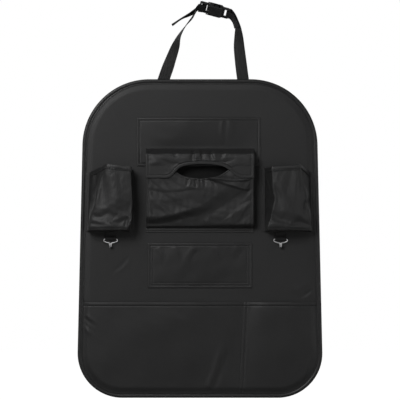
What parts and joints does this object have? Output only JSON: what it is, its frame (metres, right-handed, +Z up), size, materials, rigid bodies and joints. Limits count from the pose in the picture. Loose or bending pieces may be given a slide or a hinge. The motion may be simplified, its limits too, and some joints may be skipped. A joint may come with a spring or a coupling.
{
  "type": "car seat back organizer",
  "caption": "Padded leatherette panel with sewn pockets, a tissue pouch, swinging wire hooks and a buckled strap, hung on the back of a car seat.",
  "frame": {"origin": "middle of the panel's rear face, where it lies on the seat back", "axes": "+Z up along the panel's height, +Y out of the rear face towards the seat, so the pockets face -Y; +X to the right seen from the front"},
  "size_m": [0.4164, 0.0607, 0.6745],
  "materials": {
    "leatherette": "black leatherette, fine grain, satin",
    "foam": "grey foam sheet",
    "lining": "black non-woven lining",
    "binding": "black binding tape with one row of stitching",
    "tape": "black hook and loop tape",
    "webbing": "black woven polypropylene webbing",
    "steel_wire": "bright bent steel wire",
    "buckle_plastic": "black moulded acetal, fine satin"
  },
  "bodies": {
    "organizer": {"front_cover": "leatherette", "foam_sheet": "foam", "back_lining": "lining", "edge_binding": "binding", "upper_pocket": "leatherette", "tissue_pocket": "leatherette", "tissue_flap": "leatherette", "flap_hook_tape_left": "tape", "flap_hook_tape_right": "tape", "pouch_loop_tape_left": "tape", "pouch_loop_tape_right": "tape", "lower_pocket": "leatherette", "bottom_pocket": "leatherette", "left_pocket_wall": "leatherette", "right_pocket_wall": "leatherette", "left_pocket_base": "leatherette", "right_pocket_base": "leatherette", "left_pocket_hem": "binding", "right_pocket_hem": "binding", "left_hook_tab": "webbing", "right_hook_tab": "webbing", "left_strap": "webbing", "right_strap": "webbing", "buckle_plug": "buckle_plastic", "buckle_socket": "buckle_plastic"},
    "left_wire_hook": {"left_hook": "steel_wire"},
    "right_wire_hook": {"right_hook": "steel_wire"}
  },
  "joints": [
    {"name": "left_hook_swing", "type": "hinge", "parent": "organizer", "child": "left_wire_hook", "pos_m": [-0.152, -0.0076, -0.001], "axis": [-1, 0, 0], "range_deg": [0, 90]},
    {"name": "right_hook_swing", "type": "hinge", "parent": "organizer", "child": "right_wire_hook", "pos_m": [0.137, -0.0076, -0.001], "axis": [-1, 0, 0], "range_deg": [0, 90]}
  ]
}
